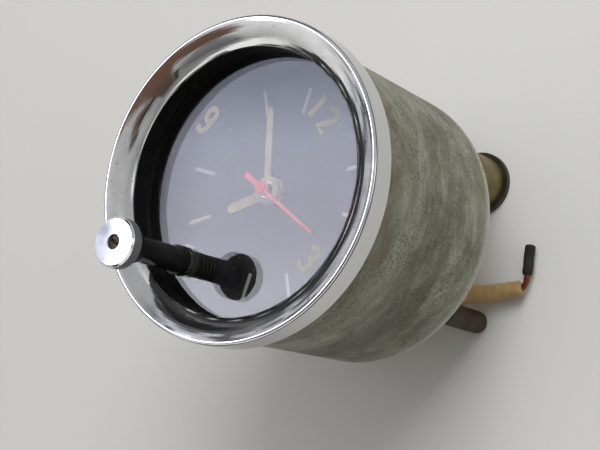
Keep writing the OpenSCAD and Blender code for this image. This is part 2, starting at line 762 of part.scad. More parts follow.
// Pinion on a tube, friction tight on the centre arbor, that carries the minute hand
cannon_z = z_plate + 0.4;
cannon_top = z_dial + minute_rise + hand_t;
module cannon_pinion() color(steel) difference() {
    union() {
        translate([0, 0, cannon_z]) rotate(minute_dir) gear(motion_m, cannon_teeth, 2.2, 3);
        translate([0, 0, cannon_z]) cylinder(r = cannon_r, h = cannon_top - cannon_z, $fn = small);
    }
    translate([0, 0, cannon_z - cut])
        cylinder(r = center_r + 0.02, h = cannon_top - cannon_z + 2 * cut, $fn = small);
    translate([0, 0, cannon_top - 2]) cylinder(r = cannon_r - 0.25, h = 2 + cut, $fn = small);
}

hour_lift = 3.4;
hour_z = z_plate + hour_lift;
hour_top = z_dial + hour_rise + hand_t;
module hour_wheel() color(brass) difference() {
    union() {
        translate([0, 0, hour_z]) rotate(minute_dir + 180 / hour_teeth) gear(hour_m, hour_teeth, wheel_t);
        translate([0, 0, hour_z]) cylinder(r = hour_tube_r, h = hour_top - hour_z, $fn = small);
    }
    translate([0, 0, hour_z - cut])
        cylinder(r = cannon_r + run_clear, h = hour_top - hour_z + 2 * cut, $fn = small);
    translate([0, 0, hour_z]) crossings(motion_cross_ring, motion_cross_r, 5, wheel_t);
}

// Wheel and pinion in one, which step the motion down for the hour hand
module minute_wheel() color(brass) translate([minute_at[0], minute_at[1], 0]) difference() {
    union() {
        translate([0, 0, z_plate + 0.6]) rotate(minute_dir + 180 + 180 / minute_teeth)
            gear(motion_m, minute_teeth, 1);
        translate([0, 0, z_plate + 1.6]) rotate(minute_dir + 180) gear(hour_m, minute_leaves, 2.7, 3);
    }
    translate([0, 0, z_plate]) cylinder(r = 0.9 + run_clear, h = motion_room, $fn = small);
    translate([0, 0, z_plate + 0.6]) crossings(motion_cross_ring, motion_cross_r, 5, 1);
}

// Fixed studs that the minute wheel, the click, the armature and the lever turn on
module pivot_studs() color(steel) {
    translate([minute_at[0], minute_at[1], 0]) {
        translate([0, 0, z_plate_under]) cylinder(r = 0.9, h = plate_t + motion_room - 0.6, $fn = small);
        translate([0, 0, z_plate]) cylinder(r = 1.5, h = 0.5, $fn = small);
    }
    translate([click_at[0], click_at[1], z_rear + ratchet_z]) {
        translate([0, 0, -0.6])
            cylinder(r = pin_r, h = train_room - ratchet_z + 0.6 + plate_t, $fn = small);
        translate([0, 0, 0.9]) cylinder(r = 1.4, h = train_room - ratchet_z - 0.9, $fn = small);
        translate([0, 0, -0.6]) cylinder(r = 1.4, h = 0.5, $fn = small);
    }
    translate([armature_at[0], armature_at[1], z_rear_under])
        cylinder(r = pin_r, h = z_plate - z_rear_under, $fn = small);
    translate([lever_at[0], lever_at[1], 0]) {
        translate([0, 0, z_rear_under])
            cylinder(r = lever_pin_r, h = plate_t + lever_z + lever_t + 0.5, $fn = small);
        translate([0, 0, z_rear]) cylinder(r = 0.9, h = lever_z - 0.1, $fn = small);
        translate([0, 0, z_rear + lever_z + lever_t + 0.1]) cylinder(r = 0.9, h = 0.4, $fn = small);
    }
}

// Hollow centre arbor with its wheel; it turns once an hour
center_low = z_rear + ratchet_z - 0.35;
center_top = z_plate + 3;
module center_wheel() color(brass) difference() {
    union() {
        translate([0, 0, center_low]) cylinder(r = center_r, h = center_top - center_low, $fn = small);
        translate([0, 0, center_low]) cylinder(r = center_r + 0.7, h = 0.25, $fn = small);
        translate([0, 0, z_rear + center_z]) rotate(third_dir) gear(center_m, center_teeth, wheel_t);
    }
    translate([0, 0, center_low - cut])
        cylinder(r = seconds_r + run_clear, h = center_top - center_low + 2 * cut, $fn = small);
    translate([0, 0, z_rear + center_z]) crossings(cross_ring, cross_r, 5, wheel_t);
}

// Spiral that drives the centre wheel and is wound a little at a time
module mainspring() color(steel) translate([0, 0, z_rear + spring_z]) 
    spiral(mainspring_in, mainspring_out, 6, mainspring_band, mainspring_h);

// Ratchet, loose on the centre arbor
function ratchet_dir(k) = pawl_dir + ratchet_step * k;
module ratchet_wheel() color(steel) translate([0, 0, z_rear + ratchet_z]) difference() {
    linear_extrude(0.8)
        polygon([for (k = [0:ratchet_teeth - 1]) each [
            ratchet_r * [cos(ratchet_dir(k + 0.3)), sin(ratchet_dir(k + 0.3))],
            (ratchet_r - ratchet_depth) * [cos(ratchet_dir(k + 0.38)), sin(ratchet_dir(k + 0.38))]]]);
    translate([0, 0, -cut]) cylinder(r = center_r + run_clear, h = 1 + 2 * cut, $fn = small);
}

module third_wheel() color(brass) translate([third_at[0], third_at[1], 0]) {
    pivoted_arbor(arbor_r);
    translate([0, 0, z_rear + center_z - leaf_over])
        rotate(third_dir + 180 + 180 / train_leaves)
            gear(center_m, train_leaves, wheel_t + 2 * leaf_over, 3);
    translate([0, 0, z_rear + third_z]) rotate(third_dir + 180) difference() {
        gear(third_m, third_teeth, wheel_t);
        crossings(cross_ring, cross_r, 5, wheel_t);
    }
}

// Seconds arbor: it runs through the hollow centre arbor to the second hand
module fourth_wheel() color(brass) {
    translate([0, 0, z_rear_under + 0.2]) cylinder(r = pivot_r, h = plate_t, $fn = small);
    translate([0, 0, z_rear + 0.2])
        cylinder(r = seconds_r, h = z_dial + second_rise + hand_t - z_rear - 0.2, $fn = small);
    translate([0, 0, z_rear + third_z - leaf_over])
        rotate(third_dir + 180 / train_leaves) gear(third_m, train_leaves, wheel_t + 2 * leaf_over, 3);
    translate([0, 0, z_rear + fourth_z]) rotate(escape_dir) difference() {
        gear(fourth_m, fourth_teeth, wheel_t);
        crossings(cross_ring, cross_r, 5, wheel_t);
    }
}

// Escape wheel with pointed teeth for the pallet pins
module escape_wheel() color(brass) translate([escape_at[0], escape_at[1], 0]) {
    step = 360 / escape_teeth;
    pivoted_arbor(arbor_r);
    translate([0, 0, z_rear + fourth_z - leaf_over])
        rotate(escape_dir + 180 + 180 / train_leaves)
            gear(fourth_m, train_leaves, wheel_t + 2 * leaf_over, 3);
    translate([0, 0, z_rear + escape_z]) rotate(escape_dir + step / 2) linear_extrude(escape_t)
        polygon([for (k = [0:escape_teeth - 1]) each [
            (escape_r - 1) * [cos(step * (k - 0.2)), sin(step * (k - 0.2))],
            escape_r * [cos(step * (k - 0.02)), sin(step * (k - 0.02))],
            escape_r * [cos(step * (k + 0.02)), sin(step * (k + 0.02))],
            (escape_r - 1) * [cos(step * (k + 0.2)), sin(step * (k + 0.2))]]]);
}

// Lever with two pallet pins and an open fork
module pallet_lever() color(steel) translate([lever_at[0], lever_at[1], 0]) rotate(escape_dir) {
    pin_orbit = escape_r * tan(pallet_half) + 0.05;
    pin_dirs = [180 - (90 - pallet_half), 180 + (90 - pallet_half)];
    fork_half = 0.62;
    fork_tip = fork_reach - fork_orbit - fork_pin_r - 0.06;
    translate([0, 0, z_rear + lever_z]) difference() {
        union() {
            cylinder(r = 1.1, h = lever_t, $fn = small);
            for (a = pin_dirs) bar([0, 0], pin_orbit * [cos(a), sin(a)], 0.7, lever_t);
            linear_extrude(lever_t) polygon([
                [0, -0.5], [fork_tip - 1.4, -0.5], [fork_tip - 0.9, -1.1], [fork_tip, -1.1],
                [fork_tip, -fork_half], [fork_tip - 0.5, -fork_half], [fork_tip - 0.5, fork_half],
                [fork_tip, fork_half], [fork_tip, 1.1], [fork_tip - 0.9, 1.1],
                [fork_tip - 1.4, 0.5], [0, 0.5]]);
        }
        translate([0, 0, -cut]) cylinder(r = lever_pin_r + run_clear, h = lever_t + 2 * cut, $fn = small);
    }
    for (a = pin_dirs)
        translate([pin_orbit * cos(a), pin_orbit * sin(a), z_rear + escape_z - 0.1])
            cylinder(r = pallet_pin_r, h = lever_z + lever_t - escape_z + 0.1, $fn = small);
}

module balance_wheel() color(brass)
translate([balance_at[0], balance_at[1], z_rear + balance_z]) difference() {
    union() {
        difference() {
            cylinder(r = balance_r, h = balance_h, $fn = fine);
            translate([0, 0, -cut]) cylinder(r = balance_r - rim_w, h = balance_h + 2 * cut, $fn = fine);
        }
        cylinder(r = 1.3, h = balance_h, $fn = small);
        for (k = [0:2])
            rotate(escape_dir + 60 + 120 * k) translate([0, -0.4, 0.3])
                cube([balance_r - rim_w / 2, 0.8, 0.6]);
    }
    translate([0, 0, -cut]) cylinder(r = arbor_r + 0.02, h = balance_h + 2 * cut, $fn = small);
}

// Balance staff with its roller, impulse pin and hairspring collet
module balance_staff() color(steel) translate([balance_at[0], balance_at[1], 0]) {
    translate([0, 0, z_rear_under + 0.2])
        cylinder(r = pivot_r, h = z_rear + cock_z + cock_t - z_rear_under - 0.4, $fn = small);
    translate([0, 0, z_rear + 0.2]) cylinder(r = arbor_r, h = regulator_z - 0.4, $fn = small);
    translate([0, 0, z_rear + roller_z]) cylinder(r = roller_r, h = roller_t, $fn = small);
    rotate(escape_dir + 180) translate([fork_orbit, 0, z_rear + lever_z - 0.2])
        cylinder(r = fork_pin_r, h = roller_z - lever_z + 0.3, $fn = small);
    translate([0, 0, z_rear + hairspring_z - 0.2])
        cylinder(r = collet_r, h = hairspring_h + 0.4, $fn = small);
}

module hairspring() color(steel)
    translate([balance_at[0], balance_at[1], z_rear + hairspring_z])
        rotate(cock_dir) spiral(hairspring_in, hairspring_out, 4, 0.14, hairspring_h);

// Rate index, turned a little to either side to make the clock gain or lose
module regulator() color(steel) translate([balance_at[0], balance_at[1], z_rear + regulator_z]) {
    difference() {
        union() {
            cylinder(r = regulator_hub, h = regulator_t, $fn = small);
            rotate(cock_dir + 60) translate([0, -regulator_w / 2, 0])
                cube([hairspring_out + 0.6, regulator_w, regulator_t]);
            rotate(cock_dir - 120) translate([0, -regulator_w / 2, 0])
                cube([regulator_tail, regulator_w, regulator_t]);
        }
        translate([0, 0, -cut]) cylinder(r = 0.9, h = regulator_t + 2 * cut, $fn = small);
    }
}

// Bridge for the upper pivot of the balance, on a foot under the front plate
module balance_cock() color(brass) translate([balance_at[0], balance_at[1], z_rear + cock_z]) difference() {
    foot = cock_foot * [cos(cock_dir), sin(cock_dir)];
    union() {
        bar([0, 0], foot, cock_w, cock_t);
        translate([foot[0], foot[1], 0]) cylinder(r = cock_foot_r, h = train_room - cock_z, $fn = small);
        rotate(cock_dir) translate([hairspring_out + 0.45, 0, hairspring_z - cock_z])
            cylinder(r = 0.3, h = cock_z - hairspring_z, $fn = small);
        translate([0, 0, regulator_z - cock_z + 0.05])
            cylinder(r = 0.85, h = cock_z - regulator_z, $fn = small);
    }
    translate([0, 0, regulator_z - cock_z - cut])
        cylinder(r = pivot_r + run_clear, h = cock_z - regulator_z + cock_t + 2 * cut, $fn = small);
}

// Holding pawl of the ratchet
module click() color(steel) translate([0, 0, z_rear + ratchet_z]) difference() {
    union() {
        translate([click_at[0], click_at[1], 0]) cylinder(r = click_r, h = click_t, $fn = small);
        bar(click_at, click_tip, click_w, click_t);
    }
    translate([click_at[0], click_at[1], -cut])
        cylinder(r = pin_r + run_clear, h = click_t + 2 * cut, $fn = small);
}

// Hinged iron plate whose finger pushes the ratchet round
module armature() color(steel) difference() {
    union() {
        translate([armature_at[0], armature_at[1], z_rear + armature_z])
            cylinder(r = barrel_r, h = armature_h, $fn = small);
        translate([armature_at[0] - armature_t / 2, armature_at[1] + 0.6, z_rear + armature_z])
            cube([armature_t, coil_y + 3.6 - armature_at[1], armature_h]);
        translate([0, 0, z_rear + ratchet_z])
            bar(armature_at, armature_at - pawl_reach * [cos(pawl_dir), sin(pawl_dir)], pawl_w, pawl_t);
    }
    translate([armature_at[0], armature_at[1], z_rear])
        cylinder(r = pin_r + run_clear, h = train_room, $fn = small);
}

module coil_core() color(steel) translate([coil_x0 - yoke_t, coil_y, coil_z]) rotate([0, 90, 0])
    cylinder(r = magnet_r, h = pole_x - coil_x0 + yoke_t, $fn = small);

// Iron angle that carries the coil's core on the rear plate
module coil_yoke() color(steel) difference() {
    union() {
        translate([coil_x0 - yoke_t, coil_y - yoke_w / 2, z_rear])
            cube([coil_len + yoke_t, yoke_w, yoke_foot]);
        translate([coil_x0 - yoke_t, coil_y - yoke_w / 2, z_rear])
            cube([yoke_t, yoke_w, coil_z - z_rear + yoke_over]);
    }
    translate([coil_x0 - yoke_t - cut, coil_y, coil_z]) rotate([0, 90, 0])
        cylinder(r = magnet_r + 0.02, h = yoke_t + 2 * cut, $fn = small);
}

module coil_bobbin() color([0.35, 0.18, 0.1])
translate([coil_x0, coil_y, coil_z]) rotate([0, 90, 0]) difference() {
    union() {
        cylinder(r = magnet_r + bobbin_wall, h = coil_len, $fn = small);
        for (x = [0, coil_len - bobbin_wall])
            translate([0, 0, x]) cylinder(r = bobbin_r, h = bobbin_wall, $fn = fine);
    }
    translate([0, 0, -cut]) cylinder(r = magnet_r + 0.05, h = coil_len + 2 * cut, $fn = small);
}

module coil_winding() color(copper)
    translate([coil_x0 + bobbin_wall + 0.05, coil_y, coil_z]) rotate([0, 90, 0]) difference() {
        cylinder(r = coil_r, h = coil_len - 2 * bobbin_wall - 0.1, $fn = fine);
        translate([0, 0, -cut])
            cylinder(r = magnet_r + bobbin_wall + 0.02, h = coil_len + 2 * cut, $fn = small);
    }

module contact_block() color(fibre) translate([block_at[0], block_at[1], z_rear]) cube(block_size);

// Fixed contact, which the armature leaves as it is drawn in
module contact_blade() color(brass)
    translate([block_at[0] - blade_t, armature_at[1] + 2, z_rear + 4])
        cube([blade_t, block_at[1] + block_size[1] - armature_at[1] - 2, 3.2]);

// Two studs riveted in the case's back
module mount_studs() color(rust)
    for (s = [-1, 1]) translate([s * stud_x, 0, 0]) rotate_extrude($fn = small) polygon(concat(
        [[0, 0]],
        arc([stud_r - stud_end_round, stud_end_round], stud_end_round, -90, 0, 6),
        [[stud_r, z_back], [stud_neck_r, z_back], [stud_neck_r, z_back_in],
         [stud_head_r, z_back_in], [stud_head_r, z_back_in + stud_head_t], [0, z_back_in + stud_head_t]]));

// Brass tube for the bulb, clipped in the case's back
module bulb_holder() color(brass) translate(holder_at) difference() {
    union() {
        translate([0, 0, cap_h]) cylinder(r = holder_r, h = z_back + holder_in - cap_h, $fn = fine);
        translate([0, 0, z_back - collar_t]) cylinder(r = holder_r + 0.6, h = collar_t, $fn = fine);
    }
    translate([0, 0, cap_h - cut]) cylinder(r = holder_r - holder_wall, h = z_back + holder_in, $fn = fine);
}

module holder_cap() color(rust) translate(holder_at) difference() {
    union() {
        cylinder(r = cap_r, h = cap_h, $fn = fine);
        translate([0, 0, cap_h])
            cylinder(r = holder_r - holder_wall - seat_clear, h = bulb_z - cap_h, $fn = fine);
    }
    translate([0, 0, -cut]) cylinder(r = holder_r - 1.6, h = cap_floor + cut, $fn = fine);
}

module bulb() color([0.8, 0.8, 0.75, 0.6]) translate(holder_at) {
    translate([0, 0, bulb_z]) cylinder(r = bulb_r - 0.2, h = bulb_base_h, $fn = small);
    translate([0, 0, bulb_z + bulb_base_h]) cylinder(r = bulb_r, h = bulb_glass_h - bulb_r, $fn = small);
    translate([0, 0, bulb_z + bulb_base_h + bulb_glass_h - bulb_r]) sphere(r = bulb_r, $fn = small);
}

module terminal_post() color(brass) translate(terminal_at) rotate_extrude($fn = small) polygon([
    [0, 0], [post_r - 0.5, 0], [post_r, 0.5], [post_r, z_back_in + inner_washer_t],
    [post_head_r, z_back_in + inner_washer_t], [post_head_r, z_back_in + inner_washer_t + post_head_t],
    [0, z_back_in + inner_washer_t + post_head_t]]);

// Fibre washer and shouldered bush that keep the post off the case
module terminal_insulators() color(fibre) translate(terminal_at) {
    difference() {
        union() {
            translate([0, 0, z_back - washer_t]) cylinder(r = washer_r, h = washer_t, $fn = small);
            translate([0, 0, z_back - washer_t])
                cylinder(r = post_r + 0.85, h = washer_t + case_back_t - 0.1, $fn = small);
        }
        translate([0, 0, z_back - washer_t - cut])
            cylinder(r = post_r + seat_clear, h = washer_t + case_back_t + 2 * cut, $fn = small);
    }
    translate([0, 0, z_back_in]) difference() {
        cylinder(r = washer_r, h = inner_washer_t, $fn = small);
        translate([0, 0, -cut])
            cylinder(r = post_r + seat_clear, h = inner_washer_t + 2 * cut, $fn = small);
    }
}

module terminal_nuts() color(brass)
    for (z = [z_nut, z_eyelet - nut_h]) translate(terminal_at + [0, 0, z]) difference() {
        cylinder(r = nut_across / sqrt(3), h = nut_h, $fn = 6);
        translate([0, 0, -cut]) cylinder(r = post_r + 0.02, h = nut_h + 2 * cut, $fn = small);
    }

// Ring tag with a barrel that grips the end of the lead
module lead_eyelet() color(brass) translate(terminal_at + [0, 0, z_eyelet]) {
    run = lead_points[0] - terminal_at;
    rotate(atan2(run[1], run[0])) difference() {
        union() {
            cylinder(r = eyelet_r, h = eyelet_t, $fn = small);
            translate([barrel_from - 2, -1, 0]) cube([2.6, 2, eyelet_t]);
            translate([barrel_from, 0, eyelet_t / 2]) rotate([0, 90, 0])
                cylinder(r = eyelet_barrel_r, h = barrel_len, $fn = small);
        }
        translate([0, 0, -cut]) cylinder(r = post_r + seat_clear, h = eyelet_t + 2 * cut, $fn = small);
        translate([barrel_from + barrel_len - 3, 0, eyelet_t / 2]) rotate([0, 90, 0])
            cylinder(r = barrel_bore, h = 3 + cut, $fn = small);
    }
}

module lead_core() color(copper)
    swept_rod([for (i = [0:len(lead_points) - 2]) lead_points[i]], core_r, tube_sides);

// Woven sleeve: full up to a step, then tapering to its end
function sleeve_r(i) = i == sleeve_first ? sleeve_neck
    : i <= sleeve_step ? sleeve_full
    : sleeve_big + (sleeve_small - sleeve_big) * (i - sleeve_step - 1) / (sleeve_last - sleeve_step - 1);
module lead_sleeve() color(tan_cloth) {
    steps = [for (i = [sleeve_first:sleeve_last]) i];
    swept_sleeve([for (i = steps) lead_points[i]], [for (i = steps) sleeve_r(i)],
        core_r + core_play, tube_sides);
}

module lead_tip() color(black) {
    last = len(lead_points) - 1;
    steps = [for (i = [tip_first:last]) i];
    swept_sleeve([for (i = steps) lead_points[i]], [for (i = steps) i == last ? tip_r - 0.15 : tip_r],
        core_r + core_play, tube_sides);
}

case();
bezel();
lens_retainer();
lens();
lens_gasket();
dial_spacer();
dial();
hour_batons();
seat_ring();
stem_bush();
hour_hand();
minute_hand();
second_hand();
setting_knob();
knob_screw();
setting_stem();
setting_pinion();
spring_cup();
setting_spring();
front_plate();
rear_plate();
pillars();
dial_posts();
cannon_pinion();
hour_wheel();
minute_wheel();
pivot_studs();
center_wheel();
mainspring();
ratchet_wheel();
third_wheel();
fourth_wheel();
escape_wheel();
pallet_lever();
balance_wheel();
balance_staff();
hairspring();
regulator();
balance_cock();
click();
armature();
coil_core();
coil_yoke();
coil_bobbin();
coil_winding();
contact_block();
contact_blade();
mount_studs();
bulb_holder();
holder_cap();
bulb();
terminal_post();
terminal_insulators();
terminal_nuts();
lead_eyelet();
lead_core();
lead_sleeve();
lead_tip();
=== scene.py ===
"""Looks of the dashboard clock: camera, light, materials, printed numerals, setting spring and lead."""
import json
import math

import bpy
from mathutils import Matrix, Vector


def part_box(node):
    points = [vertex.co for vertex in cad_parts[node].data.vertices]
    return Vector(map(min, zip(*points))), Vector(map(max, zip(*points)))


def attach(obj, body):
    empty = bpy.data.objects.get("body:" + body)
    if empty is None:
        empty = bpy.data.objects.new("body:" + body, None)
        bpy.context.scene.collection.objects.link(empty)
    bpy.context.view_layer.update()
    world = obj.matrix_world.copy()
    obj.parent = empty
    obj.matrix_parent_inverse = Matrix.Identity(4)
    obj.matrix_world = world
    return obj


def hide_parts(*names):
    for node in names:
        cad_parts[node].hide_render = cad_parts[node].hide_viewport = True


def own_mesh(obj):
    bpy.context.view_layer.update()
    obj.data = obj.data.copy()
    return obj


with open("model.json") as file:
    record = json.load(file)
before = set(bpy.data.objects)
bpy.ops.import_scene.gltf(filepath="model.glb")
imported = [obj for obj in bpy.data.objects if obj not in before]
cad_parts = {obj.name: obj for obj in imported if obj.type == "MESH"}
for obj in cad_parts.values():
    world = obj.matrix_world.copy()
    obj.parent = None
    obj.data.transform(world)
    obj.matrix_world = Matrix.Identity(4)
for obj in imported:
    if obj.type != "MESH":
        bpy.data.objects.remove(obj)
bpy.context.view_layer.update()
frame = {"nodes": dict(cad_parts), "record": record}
nodes = frame["nodes"]
scene = bpy.context.scene
scene.view_settings.view_transform = "Standard"

MM = 0.001

# Camera fitted to the bezel's and the case's outlines in the 600 x 450 picture
CAMERA_AT = (0.17992, 0.09504, 0.31532)
CAMERA_RIGHT = (0.50612765, 0.65020317, -0.56663096)
CAMERA_UP = (-0.68568065, 0.70187068, 0.1929238)
CAMERA_BACK = (0.52314132, 0.29088382, 0.80106789)
FOCAL_LENGTH = 102.14
SENSOR_WIDTH = 36
camera_data = bpy.data.cameras.new("camera")
camera_data.lens = FOCAL_LENGTH
camera_data.sensor_width = SENSOR_WIDTH
camera_data.clip_start = 10 * MM
camera = bpy.data.objects.new("camera", camera_data)
turn = Matrix((CAMERA_RIGHT, CAMERA_UP, CAMERA_BACK)).transposed()
camera.matrix_world = Matrix.Translation(CAMERA_AT) @ turn.to_4x4()
scene.collection.objects.link(camera)
scene.camera = camera


# Node helpers, for materials and for the world

def new_material(name):
    material = bpy.data.materials.new(name)
    material.use_nodes = True
    return material, material.node_tree.nodes["Principled BSDF"]


def add(material, kind, **values):
    node = material.node_tree.nodes.new(kind)
    for key, value in values.items():
        setattr(node, key, value)
    return node


def join(material, output, socket):
    material.node_tree.links.new(output, socket)


def coordinates(material, stretch=(1, 1, 1)):
    """Object coordinates scaled by stretch along X, Y and Z."""
    source = add(material, "ShaderNodeTexCoord")
    scaled = add(material, "ShaderNodeMapping")
    scaled.inputs["Scale"].default_value = stretch
    join(material, source.outputs["Object"], scaled.inputs["Vector"])
    return scaled.outputs["Vector"]


def surface_normal(material):
    return add(material, "ShaderNodeNewGeometry").outputs["Normal"]


def split(material, vector):
    """Outputs X, Y and Z of a vector."""
    node = add(material, "ShaderNodeSeparateXYZ")
    join(material, vector, node.inputs["Vector"])
    return node.outputs


def noise(material, scale, detail=4.0, rough=0.55, stretch=(1, 1, 1), warp=0.0):
    texture = add(material, "ShaderNodeTexNoise")
    texture.inputs["Scale"].default_value = scale
    texture.inputs["Detail"].default_value = detail
    texture.inputs["Roughness"].default_value = rough
    texture.inputs["Distortion"].default_value = warp
    join(material, coordinates(material, stretch), texture.inputs["Vector"])
    return texture.outputs[0]


def ramp(material, value, low, high, out_low=0.0, out_high=1.0):
    """Maps value from low..high to out_low..out_high, held at the ends."""
    node = add(material, "ShaderNodeMapRange")
    node.inputs["From Min"].default_value = low
    node.inputs["From Max"].default_value = high
    node.inputs["To Min"].default_value = out_low
    node.inputs["To Max"].default_value = out_high
    join(material, value, node.inputs["Value"])
    return node.outputs["Result"]


def mix(material, factor, a, b):
    """Mixes two colours, each a tuple or an output."""
    node = add(material, "ShaderNodeMix", data_type="RGBA")
    join(material, factor, node.inputs[0])
    for socket, value in ((node.inputs[6], a), (node.inputs[7], b)):
        if isinstance(value, tuple):
            socket.default_value = (*value, 1)
        else:
            join(material, value, socket)
    return node.outputs[2]


def layers(material, colour, marks):
    """Lays marks over a colour, each with its share and its tint, the last one on top."""
    for share, tint in marks:
        colour = mix(material, share, colour, tint)
    return colour


def times(material, a, b):
    """Product of two outputs."""
    node = add(material, "ShaderNodeMath", operation="MULTIPLY")
    join(material, a, node.inputs[0])
    join(material, b, node.inputs[1])
    return node.outputs[0]


def shifted(material, value, by, share):
    """A value raised by a share of another output."""
    node = add(material, "ShaderNodeMath", operation="MULTIPLY_ADD")
    join(material, by, node.inputs[0])
    node.inputs[1].default_value = share
    join(material, value, node.inputs[2])
    return node.outputs[0]


def band(material, value, low, high, soft):
    """One between low and high, falling to nothing within soft outside them."""
    rise = ramp(material, value, low - soft, low)
    return times(material, rise, ramp(material, value, high + soft, high))


def along(material, vector, direction):
    """Dot product of a vector and a direction, which is a tuple or an output."""
    node = add(material, "ShaderNodeVectorMath", operation="DOT_PRODUCT")
    join(material, vector, node.inputs[0])
    if isinstance(direction, tuple):
        node.inputs[1].default_value = direction
    else:
        join(material, direction, node.inputs[1])
    return node.outputs["Value"]


def bump(material, shader, height, strength, distance):
    node = add(material, "ShaderNodeBump")
    node.inputs["Strength"].default_value = strength
    node.inputs["Distance"].default_value = distance
    join(material, height, node.inputs["Height"])
    join(material, node.outputs["Normal"], shader.inputs["Normal"])


# Materials

def worn_metal(name, base, dark, metallic, smooth, dull, grain=260.0, stretch=(1, 1, 1)):
    """Metal whose colour and roughness vary from base and smooth to dark and dull, with dark specks."""
    material, shader = new_material(name)
    shader.inputs["Metallic"].default_value = metallic
    cloud = noise(material, grain, 6.0, 0.6, stretch)
    dots = noise(material, grain * 5, 2.0, 0.5)
    colour = mix(material, ramp(material, cloud, 0.38, 0.68), base, dark)
    colour = mix(material, ramp(material, dots, 0.66, 0.74, 0.0, 0.5), colour, (0.02, 0.018, 0.015))
    join(material, colour, shader.inputs["Base Color"])
    join(material, ramp(material, cloud, 0.3, 0.75, smooth, dull), shader.inputs["Roughness"])
    bump(material, shader, noise(material, grain * 3, 3.0, 0.5, stretch), 0.12, 0.05 * MM)
    return material


def paint(name, base, shade, rough, grain=500.0):
    material, shader = new_material(name)
    cloud = noise(material, grain, 5.0, 0.6)
    colour = mix(material, ramp(material, cloud, 0.35, 0.7), base, shade)
    gloss = ramp(material, cloud, 0.3, 0.7, rough - 0.08, rough + 0.08)
    join(material, colour, shader.inputs["Base Color"])
    join(material, gloss, shader.inputs["Roughness"])
    bump(material, shader, noise(material, grain * 4, 2.0), 0.08, 0.03 * MM)
    return material


# Marks of the case: heights from the first trace of a mark to its full strength
PALE_TAIL = (32 * MM, 22 * MM)
# Darker and browner towards the bezel's skirt
DARKER_BY_SKIRT = (56 * MM, 63 * MM)
PALE_RIM = (22.2 * MM, 20.2 * MM)
# Belts round the case: low edge, high edge and softness, in heights that a noise raises
# by up to BELT_WANDER
BELT_WANDER = 16 * MM
GRIME_AND_SHADE_BELT = (43 * MM, 49 * MM, 6 * MM)
BARE_BELT = (55 * MM, 61 * MM, 4 * MM)
# Dirt and painted shade fade out towards twelve o'clock, the side the key lamp lights
GRIME_AND_SHADE_FADES = (26 * MM, 18 * MM)
PALE_ZINC = (0.36, 0.365, 0.305)


def weathered_zinc():
    """Zinc of the case: mottled, streaked round its girth, stained and pitted, with a belt of dirt and
    painted shade that spares twelve o'clock, and a pale rear rim.
    """
    material, shader = new_material("weathered_zinc")
    shader.inputs["Metallic"].default_value = 0.2
    cloud = noise(material, 110, 10.0, 0.72, (1, 1, 1.5), 0.3)
    streak = noise(material, 26, 6.0, 0.62, (1, 1, 6), 0.2)
    stain = noise(material, 48, 8.0, 0.68, (1, 1, 1.6), 0.4)
    pit = noise(material, 2100, 2.5, 0.6)
    patch = noise(material, 75, 4.0, 0.6)
    grain = noise(material, 150, 10.0, 0.78, (1, 1, 5), 0.1)
    place = split(material, coordinates(material))
    height = place["Z"]
    uneven = shifted(material, height, stain, BELT_WANDER)
    # Belt of dirt with painted shade, strongest away from twelve o'clock, the side the key lamp lights
    grime_and_shade = times(material, band(material, uneven, *GRIME_AND_SHADE_BELT),
                  ramp(material, place["Y"], *GRIME_AND_SHADE_FADES, 0.0, 0.45))
    bare = ramp(material, band(material, uneven, *BARE_BELT), 0.0, 1.0, 0.0, 0.25)
    specks = times(material, ramp(material, pit, 0.53, 0.62, 0.0, 0.8),
                   ramp(material, patch, 0.36, 0.58, 0.15, 1.0))
    mottle = mix(material, ramp(material, cloud, 0.4, 0.6), (0.135, 0.14, 0.095), (0.335, 0.34, 0.275))
    colour = layers(material, mottle, (
        (ramp(material, grain, 0.49, 0.6, 0.0, 0.6), (0.105, 0.095, 0.062)),
        (ramp(material, grain, 0.47, 0.36, 0.0, 0.5), (0.36, 0.37, 0.32)),
        (ramp(material, streak, 0.46, 0.62, 0.0, 0.6), (0.15, 0.15, 0.105)),
        (ramp(material, stain, 0.5, 0.64, 0.0, 0.8), (0.165, 0.138, 0.062)),
        (ramp(material, height, *PALE_TAIL, 0.0, 0.18), PALE_ZINC),
        (ramp(material, height, *DARKER_BY_SKIRT, 0.0, 0.45), (0.15, 0.128, 0.065)),
        # Dirt and painted shade away from the key lamp's side
        (grime_and_shade, (0.08, 0.075, 0.05)),
        (bare, PALE_ZINC),
        (ramp(material, height, *PALE_RIM, 0.0, 0.85), (0.55, 0.56, 0.52)),
        (specks, (0.045, 0.042, 0.032))))
    join(material, colour, shader.inputs["Base Color"])
    join(material, ramp(material, cloud, 0.3, 0.7, 0.66, 0.46), shader.inputs["Roughness"])
    bump(material, shader, cloud, 0.35, 0.18 * MM)
    return material


